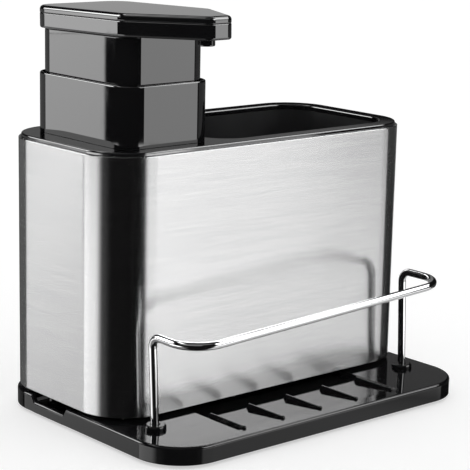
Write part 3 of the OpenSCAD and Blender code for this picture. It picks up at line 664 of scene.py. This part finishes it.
def railPath(s):
    # up a post, a quarter turn forward, a quarter turn to the front run, and the same mirrored; the whole
    # then turns about the middle of the left leg by the lean
    lean, width, low = radians(s["lean"]), 2 * layout["postX"], s["height"] - s["bend"]
    span = width * cos(lean)
    arm = trayShape["depth"] / 2 + layout["postY"] - s["front"]
    inner = arm - s["corner"]
    turn = np.linspace(0, pi / 2, 15)[:, None]
    post = np.array([[0, 0, z] for z in (-s["leg"], 0, 12, 24, low - 0.5)])
    bend = np.concatenate([0 * turn, -s["bend"] * (1 - np.cos(turn)), low + s["bend"] * np.sin(turn)], 1)
    straight = np.array([[0, -(s["bend"] + inner) / 2, s["height"]]])
    corner = np.concatenate([s["corner"] * (1 - np.cos(turn)), -inner - s["corner"] * np.sin(turn),
                             s["height"] + 0 * turn], 1)
    half = np.concatenate([post, bend, straight, corner, [[span / 4, -arm, s["height"]]]])
    other = half[::-1] * (-1, 1, 1) + (span, 0, 0)
    other[-1, 2] -= width * sin(lean)
    path = np.concatenate([half, [[span / 2, -arm, s["height"]]], other])
    path[:, 2] += s["leg"] / 2
    x, z = path[:, 0] * cos(lean) - path[:, 2] * sin(lean), path[:, 0] * sin(lean) + path[:, 2] * cos(lean)
    return np.stack([x - layout["postX"], path[:, 1] + layout["postY"], z + s["mouth"] - s["leg"] / 2], -1)


print("stage: wire rail")
makePiece("railWire", tubePatches(railPath(railShape), railShape["wire"] / 2, 32), "rail", "wire_rail",
          railChrome, sharp=40)


sleeveShape = {
    "width": 174, "depth": 84, "radius": 22, "foot": 10.9, "top": 121.1, "sheet": 0.6,
    "roll": 0.2, "hem": 1.35,  # the upper edge's rounding, and how far it is folded in
    "cutEdge": 0.25,           # rounding of the lower edge
    "mapScale": 400,           # millimetres in one unit of the brushing's map
}


def sheetRun(loop, s):
    # the way round the loop and the height, for the direction of the brushing
    points = loop[0]
    length = np.concatenate([[0], np.cumsum(np.linalg.norm(np.diff(points, axis=0), axis=1))])

    def spread(spots):
        nearest = np.linalg.norm(spots[:, None, :2] - points[None], axis=2).argmin(1)
        return np.stack([length[nearest], spots[:, 2]], -1) / s["mapScale"]
    return spread


def sleeveProfile(s):
    # up the outside, over the rolled edge, down the inside of the sheet
    under, cut = s["top"] - s["sheet"], s["cutEdge"]
    return roundedLine([(0, s["foot"], cut), (0, s["top"], s["roll"]), (s["hem"], s["top"], 0.12),
                        (s["hem"], under, 0.1), (s["sheet"], under, 0.15), (s["sheet"], s["foot"], cut)],
                       8, guard=0.03, closed=True)


print("stage: steel sleeve")
sleeveLoop = belt(cornerCircles(sleeveShape["width"], sleeveShape["depth"], sleeveShape["radius"],
                                0, layout["bodyY"]), 40, guard=0.5)
sleeveRing = sweep(sleeveLoop, sleeveProfile(sleeveShape))
makePiece("steelWrap", [grid(sleeveRing, roundV=True)], "housing", "steel_sleeve",
          sleeveSteel, sharp=40, uv=sheetRun(sleeveLoop, sleeveShape))


rimShape = {
    "inset": 1.15, "top": 122.9, "thick": 2.4, "edge": 0.65,
    "under": (0.5, 0.9),     # the shadow step below the rim: depth and height
    "wellEdge": 0.7, "neckEdge": 0.3,
    "land": 0.25, "holeLand": 0.2,  # flat strips between a rounded edge and the deck's flat skin
    "well": (104.7, 67.4, 15), "neck": (42.5, 62.5, 7.25),  # width, depth, radius
}


def rimAndDeck(s, b):
    # an outer ring with a rounded shoulder, a ring down each opening, and flat skins between them
    width, depth = b["width"] - 2 * s["inset"], b["depth"] - 2 * s["inset"]
    low = s["top"] - s["thick"]
    stepIn, stepUp = s["under"]
    outer = sweep(belt(cornerCircles(width, depth, b["radius"] - s["inset"], 0, layout["bodyY"]), 32),
                  roundedLine([(stepIn, low, 0), (0, low + stepUp, 0.1), (0, s["top"], s["edge"]),
                               (s["edge"] + s["land"], s["top"], 0)], 9, guard=0.1))
    patches, tops, feet = [grid(outer)], [], []
    for name, x, edge in (("well", layout["wellX"], s["wellEdge"]), ("neck", layout["pumpX"], s["neckEdge"])):
        hole = sweep(belt(cornerCircles(*s[name], x, layout["bodyY"]), 24),
                     roundedLine([(-edge - s["holeLand"], s["top"], 0), (0, s["top"], edge), (0, low, 0)],
                                 7, guard=0.08))
        patches.append(grid(hole))
        tops.append(hole[:, 0])
        feet.append(hole[:, -1])
    return patches + [fill(outer[:, -1], tops), fill(outer[:, 0], feet, up=False)]


print("stage: rim and deck")
makePiece("rimDeck", rimAndDeck(rimShape, sleeveShape), "housing", "top_frame", pumpBlack)


wellShape = {
    "width": 105.3, "depth": 68.0, "radius": 15.3, "top": 120.5, "floor": 22.0, "base": 20.0,
    "wall": 1.8, "fillet": 4, "mouth": 0.2,
    "slots": 4, "slotLength": 36, "slotWidth": 3.2, "slotPitch": 11, "slotEdge": 0.3, "slotLand": 0.1,
}


def brushCup(s):
    # down the inside to a rounded floor with slots through it, and up the outside
    middle, y, wall, inset = layout["wellX"], layout["bodyY"], s["wall"], s["fillet"] + 1
    loop = belt(cornerCircles(s["width"], s["depth"], s["radius"], middle, y), 24)
    inside = sweep(loop, roundedLine([(-wall, s["top"], 0), (0, s["top"], s["mouth"]),
                                      (0, s["floor"], s["fillet"]), (inset, s["floor"], 0)], 8))
    outside = sweep(loop, [(inset, s["base"]), (-wall, s["base"]), (-wall, s["top"])])
    patches, tops, feet = [grid(inside), grid(outside)], [], []
    radius = s["slotWidth"] / 2
    half = s["slotLength"] / 2 - radius
    for i in range(s["slots"]):
        x = middle + (i - (s["slots"] - 1) / 2) * s["slotPitch"]
        slot = sweep(belt([(x, y + half, radius), (x, y - half, radius)], 12, guard=0.3),
                     roundedLine([(-s["slotLand"] - s["slotEdge"], s["floor"], 0),
                                  (0, s["floor"], s["slotEdge"]), (0, s["base"], 0)], 3, guard=0.05))
        patches.append(grid(slot))
        tops.append(slot[:, 0])
        feet.append(slot[:, -1])
    return patches + [fill(inside[:, -1], tops), fill(outside[:, 0], feet, up=False)]


print("stage: brush well")
makePiece("brushCup", brushCup(wellShape), "housing", "brush_well", satin["wellBlack"])


collarShape = {
    "width": 47, "depth": 67, "radius": 9.5, "back": 2.4, "backRadius": 12.6,
    "foot": 124.1, "floor": 126.1, "top": 148.8, "wall": 2.0, "edge": 0.7,
    "lip": 1.1, "lipThick": 0.6,             # a thin edge hangs over the gasket
    "rebate": 1.1, "rebateDepth": 2.2,       # a step inside the upper edge
    "flat": 3,                               # the floor's flat faces start this far in
    "bore": 10.05, "boreLift": 0.1,
    "plugWidth": 42, "plugDepth": 62, "plugRadius": 7, "plugFoot": 110.9, "plugWall": 1.8,
    "plugEnds": (-1, 0.5),                   # its inner end above the floor, its outer end above the foot
}


def collarSkin(s):
    # the hanging lip, the outer wall, a rounded upper edge with a rebate inside it, the floor with its bore,
    # and the plug below, whose ends run into the floor
    x, y = layout["pumpX"], layout["bodyY"]
    foot, floor, top, shelf = s["foot"], s["floor"], s["top"], s["top"] - s["rebateDepth"]
    innerEnd, outerEnd = floor + s["plugEnds"][0], foot + s["plugEnds"][1]
    wall = sweep(belt(pumpPlan(s)), roundedLine(
        [(s["flat"], foot, 0), (s["lipThick"], foot, 0), (s["lipThick"], foot - s["lip"], 0),
         (0, foot - s["lip"], 0.1), (0, top, s["edge"]), (s["rebate"], top, 0.1), (s["rebate"], shelf, 0.1),
         (s["wall"], shelf, 0.1), (s["wall"], floor, 0.3), (s["flat"], floor, 0)], 8, guard=0.05))
    plug = sweep(belt(cornerCircles(s["plugWidth"], s["plugDepth"], s["plugRadius"], x, y), 16), roundedLine(
        [(s["plugWall"], innerEnd, 0), (s["plugWall"], s["plugFoot"], 0.3), (0, s["plugFoot"], 0.3),
         (0, outerEnd, 0)], 4, guard=0.1))
    bore = spin([(s["bore"], foot + s["boreLift"]), (s["bore"], floor)], x, y)
    return [grid(wall), grid(plug), grid(bore[::-1]),
            fill(wall[:, -1], [bore[:, 1]]), fill(wall[:, 0], [bore[:, 0]], up=False)]


print("stage: pump collar and press sleeve")
makePiece("collarSkin", collarSkin(collarShape), "pump", "pump_collar", pumpBlack)

pressShape = {
    "width": 42.4, "depth": 62.4, "radius": 7.2, "back": 2.4, "backRadius": 10.1,
    "foot": 141.4, "wall": 1.6, "shoulder": 0.8, "footEdge": 0.4, "innerEdge": 0.3,
    "roof": 3,               # the inside ends this far below the head
    "tilted": 2,             # the part that follows the head's tilt
    "clear": 0.01,           # its gap to the head
}


def pressSkin(s):
    # a rectangular tube whose upper end follows the head: a point there goes down by the slope times its
    # distance behind the pump's axis
    head, slope = layout["headFoot"], tan(radians(layout["headTilt"]))
    skin = sweep(belt(pumpPlan(s), 24), roundedLine(
        [(s["wall"], head - s["roof"], 0), (s["wall"], s["foot"], s["innerEdge"]),
         (0, s["foot"], s["footEdge"]), (0, head, s["shoulder"]), (s["wall"], head, 0)], 7, guard=0.1))
    high = skin[..., 2] > head - s["tilted"]
    skin[..., 2] -= np.where(high, (skin[..., 1] - layout["bodyY"]) * slope + s["clear"], 0)
    return [grid(skin), cap(skin[:, -1]), cap(skin[:, 0], up=False)]


makePiece("pressSkin", pressSkin(pressShape), "press", "press_sleeve", pumpBlack)


headShape = {
    # the plan's corners about the pump's axis, as circles: x, y, radius
    "circles": [(13.6, 23.5, 10.1), (-13.6, 23.5, 10.1), (-14.7, -28.2, 9), (-3.1, -61.05, 4.2),
                (3.1, -61.05, 4.2), (14.7, -28.2, 9)],
    "shell": 6.5, "cover": 3.1,    # heights
    "edge": 1.7, "foot": 1.0, "seam": 0.45, "land": 0.2,  # roundings, and the flat strip inside each
    "chamber": (4.6, 0.3, 7.4),    # the outlet valve's radius, floor and roof, inside shell and cover
}


def onTheHead(points):
    # turned about X by the tilt, nose up, and set on the pump's axis
    a = -radians(layout["headTilt"])
    y, z = points[:, 1] * cos(a) - points[:, 2] * sin(a), points[:, 1] * sin(a) + points[:, 2] * cos(a)
    return np.stack([points[:, 0], y, z], -1) + (layout["pumpX"], layout["bodyY"], layout["headFoot"])


def headPart(low, high, foot, edge, s):
    # the wall round the head's plan between two levels, with rounded lower and upper edges, closed by flat
    # faces; the valve's chamber is a round pocket in the face where shell and cover meet
    radius, floor, roof = s["chamber"]
    ring = sweep(belt(s["circles"]), roundedLine(
        [(foot + s["land"], low, 0), (0, low, foot), (0, high, edge), (edge + s["land"], high, 0)],
        9, guard=0.06))
    if low < floor:
        pocket = spin([(radius, high), (radius, floor)])
        top, under, end = [pocket[:, 0]], [], cap(pocket[:, 1])
    else:
        pocket = spin([(radius, roof), (radius, low)])
        top, under, end = [], [pocket[:, 1]], cap(pocket[:, 0], up=False)
    patches = [grid(ring), fill(ring[:, -1], top), fill(ring[:, 0], under, up=False), grid(pocket), end]
    return [moved(patch, onTheHead) for patch in patches]


nozzleShape = {"y": -56, "diameter": 6.8, "height": 2.9, "edge": 0.5,
               "bore": 3, "boreTop": 1.2, "mouth": 0.25}


def nozzleSkin(n):
    # a short round tip below the nose with a rounded mouth
    radius, bore = n["diameter"] / 2, n["bore"] / 2
    line = roundedLine([(0, n["boreTop"], 0), (bore, n["boreTop"], 0), (bore, -n["height"], n["mouth"]),
                        (radius, -n["height"], n["edge"]), (radius, 0, 0), (0, 0, 0)], guard=0.08)
    return [moved(grid(spin(line, 0, n["y"])), onTheHead)]


print("stage: press head")
headTop = headShape["shell"] + headShape["cover"]
makePiece("headShell", headPart(0, headShape["shell"], headShape["foot"], headShape["seam"], headShape),
          "press", "head_shell", pumpBlack)
makePiece("headCover", headPart(headShape["shell"], headTop, headShape["seam"], headShape["edge"], headShape),
          "press", "head_cover", pumpBlack)
makePiece("nozzleTip", nozzleSkin(nozzleShape), "press", "nozzle_tip", pumpBlack)


springShape = {
    "foot": 81.75, "length": 23.7, "wire": 1.2, "across": 15.4, "turns": 6,
    "endPitch": 0.64,        # pitch at the ends, as a share of the mean
    "kept": 0.375,           # share of the length left when the head is down
}


def springPath(s):
    # a helix whose pitch closes up towards both ends: the climb is t less a sine of one period
    x, y = layout["pumpX"], layout["bodyY"]
    pointsPerTurn = 28
    t = np.linspace(0, 1, s["turns"] * pointsPerTurn + 1)
    angle = 2 * pi * s["turns"] * t
    climb = t - (1 - s["endPitch"]) * np.sin(2 * pi * t) / (2 * pi)
    radius = (s["across"] - s["wire"]) / 2
    z = s["foot"] + s["wire"] / 2 + (s["length"] - s["wire"]) * climb
    return np.stack([x + radius * np.cos(angle), y + radius * np.sin(angle), z], -1)


print("stage: return spring")
coil = makePiece("returnCoil", tubePatches(springPath(springShape), springShape["wire"] / 2, 10), "pump",
                 "return_spring", springSteel)
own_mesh(coil)


floorSetup = {
    "half": 6.0,             # metres from the middle to a side
    "shade": 0.62,           # its own grey
    "glow": 0.52,            # light added to the camera's rays
}


def makeFloor(s):
    # a wide pale square: its own grey, with light added to the camera's rays until the bare floor is white
    mesh = bpy.data.meshes.new("floor")
    corners = [(x * s["half"], y * s["half"], 0) for x, y in ((-1, -1), (1, -1), (1, 1), (-1, 1))]
    mesh.from_pydata(corners, [], [(0, 1, 2, 3)])
    floor = bpy.data.objects.new("floor", mesh)
    bpy.context.scene.collection.objects.link(floor)
    material = bpy.data.materials.new("floorPale")
    material.use_nodes = True
    material.node_tree.nodes.clear()
    n = Nodes(material.node_tree)
    shade, glow = n.add("BsdfDiffuse"), n.add("Emission")
    both, out = n.add("AddShader"), n.add("OutputMaterial")
    shade.inputs["Color"].default_value = (s["shade"], s["shade"], s["shade"], 1)
    seen = n.add("LightPath").outputs["Is Camera Ray"]
    n.link(n.math("MULTIPLY", seen, s["glow"]), glow.inputs["Strength"])
    n.link(shade.outputs[0], both.inputs[0])
    n.link(glow.outputs[0], both.inputs[1])
    n.link(both.outputs[0], out.inputs["Surface"])
    mesh.materials.append(material)
    floor.visible_glossy = False


studio = {
    "plain": 0.8,            # the level that lights everything but reflections
    "bare": 0.006,           # the level between the panels
    "joint": 100.0,          # from this azimuth on, the wrapped angle counts from the other side
    # each panel: azimuths from +Y towards +X, their soft edges, elevations, their soft edges, and the levels
    # at its lower and upper end
    "panels": {
        # below the horizon, on the left and on the right: what the steel's side, corner and front show
        "leftLow": ((-42.5, -27), (1.5, 4), (-26, -9.55), (3, 0.3), (0.1, 1.6)),
        "leftCorner": ((-84.5, -42.5), (20, 1.5), (-26, -9.55), (3, 0.3), (0.5, 3.3)),
        "leftTail": ((-104, -60), (20, 2), (-26, -9.55), (3, 0.3), (0.1, 0.12)),
        "leftFoot": ((-89, -27), (10, 4), (-70, -26), (10, 3), (0.2, 0.2)),
        "rightLow": ((116, 140.5), (4, 1.5), (-17.5, -9.55), (2, 0.3), (1.0, 1.95)),
        "rightCorner": ((140.5, 170), (1.5, 11), (-17.5, -9.55), (2, 0.3), (1.6, 3.3)),
        "rightTail": ((-215, -179), (2, 12), (-20, -9.55), (2, 0.3), (0.08, 0.08)),
        "rightFoot": ((119, 170), (4, 8), (-70, -17.5), (10, 2), (0.6, 0.6)),
        "backStrip": ((-20, 34), (6, 3), (-26, -9.55), (3, 0.3), (0.11, 0.11)),
        "backRight": ((35, 64), (3, 3), (-40, -11), (5, 1), (0.9, 0.9)),
        "slit": ((-161.5, -158), (1, 1), (-20, -9.5), (2, 0.4), (0.03, 0.03)),
        # nearer the horizon, with sharp borders: what the pump's flat faces show
        "leftUpper": ((-36.4, -34.1), (0.12, 0.3), (-9.55, -5.85), (0.3, 0.1), (1.6, 1.8)),
        "leftTop": ((-38.2, -34.1), (0.15, 0.3), (-5.85, 1), (0.1, 2), (2.1, 2.2)),
        "leftStrip": ((-33.9, 5), (0.4, 6), (-9.55, 0), (0.3, 1), (0.2, 0.2)),
        "leftStripBack": ((5, 34), (6, 6), (-9.55, 0), (0.3, 1), (0.13, 0.13)),
        "rightUpper": ((136.5, 143.5), (0.6, 0.6), (-9.55, -5.85), (0.3, 0.1), (1.13, 1.2)),
        "rightTop": ((136.5, 143.5), (0.6, 0.6), (-5.85, 1), (0.1, 2), (1.65, 1.7)),
        "rightStrip": ((50, 130), (6, 6), (-9.55, -4), (0.3, 2), (0.12, 0.12)),
        # above the horizon: the steel's drawn-out gloss, and the lights on rounded upper edges
        "leftMiddle": ((-60, -30), (6, 6), (1, 16), (2, 2), (1.0, 1.1)),
        "rightMiddle": ((133, 165), (5, 6), (1, 21), (2, 4), (1.0, 1.0)),
        "rightRise": ((133, 165), (5, 6), (20, 42), (4, 4), (5.5, 6.0)),
        "leftHigh": ((-44, -24), (3, 3), (14, 36), (3, 3), (7, 7)),
        "rightHigh": ((118, 130), (3, 3), (24, 42), (3, 3), (6, 6)),
        "rightLip": ((80, 119), (6, 2), (39, 53), (3, 3), (2.2, 2.2)),
        "cornerHigh": ((-150, -70), (10, 10), (32, 46), (3, 3), (0.25, 0.25)),
        # behind the caddy and overhead: what level faces mirror
        "backdropLow": ((10, 43.5), (6, 1.5), (0.5, 5.6), (1, 0.6), (0.42, 0.42)),
        "backdropHigh": ((28, 50), (6, 3), (8.6, 24), (0.5, 3), (0.17, 0.15)),
        "overhead": ((-70, 110), (20, 20), (54, 62), (3, 3), (2, 2)),
        "farSide": ((-200, -62), (8, 4), (46, 82), (5, 10), (0.12, 0.12)),
        # the ground all round
        "table": ((-22, 112), (8, 8), (-100, -24), (1, 5), (0.6, 0.6)),
        "ground": ((-70, 155), (10, 10), (-100, -32), (1, 8), (0.2, 0.2)),
    },
}


def makeWorld(s):
    # white to the camera, the panels to reflections, and one plain level to everything else: a panel is its
    # level times a window in azimuth times one in elevation, and the brightest panel of a direction counts
    world = bpy.data.worlds.new("studio")
    bpy.context.scene.world = world
    world.use_nodes = True
    world.cycles.sampling_method = "NONE"
    world.node_tree.nodes.clear()
    n = Nodes(world.node_tree)
    out, sky, split = n.add("OutputWorld"), n.add("Background"), n.add("SeparateXYZ")
    n.link(n.add("TexCoord").outputs["Generated"], split.inputs[0])
    azimuth = n.math("MULTIPLY", n.math("ARCTAN2", split.outputs[0], split.outputs[1]), 180 / pi)
    elevation = n.math("MULTIPLY", n.math("ARCSINE", split.outputs[2]), 180 / pi)
    # the same angle, but past the joint a whole turn less, for panels that reach over the -180 line
    beyond = n.math("MULTIPLY", n.math("GREATER_THAN", azimuth, s["joint"]), 360.0)
    wrapped = n.math("SUBTRACT", azimuth, beyond)

    def window(value, ends, soft):
        # 1 between the ends, with a soft edge at each
        rise = n.span(value, ends[0] - soft[0] / 2, ends[0] + soft[0] / 2)
        return n.math("MULTIPLY", rise, n.span(value, ends[1] - soft[1] / 2, ends[1] + soft[1] / 2, 1.0, 0.0))

    total = s["bare"]
    for across, softAcross, tall, softTall, levels in s["panels"].values():
        angle = wrapped if across[0] < -180 else azimuth
        level = n.span(elevation, *tall, *levels, kind="LINEAR")
        shape = n.math("MULTIPLY", window(angle, across, softAcross), window(elevation, tall, softTall))
        total = n.math("MAXIMUM", total, n.math("MULTIPLY", shape, level))
    path = n.add("LightPath")
    mirror = n.math("MAXIMUM", path.outputs["Is Glossy Ray"], path.outputs["Is Transmission Ray"])
    light = n.math("ADD", s["plain"], n.math("MULTIPLY", mirror, n.math("SUBTRACT", total, s["plain"])))
    seen = path.outputs["Is Camera Ray"]
    strength = n.math("ADD", seen, n.math("MULTIPLY", n.math("SUBTRACT", 1.0, seen), light))
    sky.inputs["Color"].default_value = (1, 1, 1, 1)
    n.link(strength, sky.inputs["Strength"])
    n.link(sky.outputs[0], out.inputs["Surface"])


print("stage: floor and light")
makeFloor(floorSetup)
makeWorld(studio)
bpy.context.scene.view_settings.view_transform = "Standard"
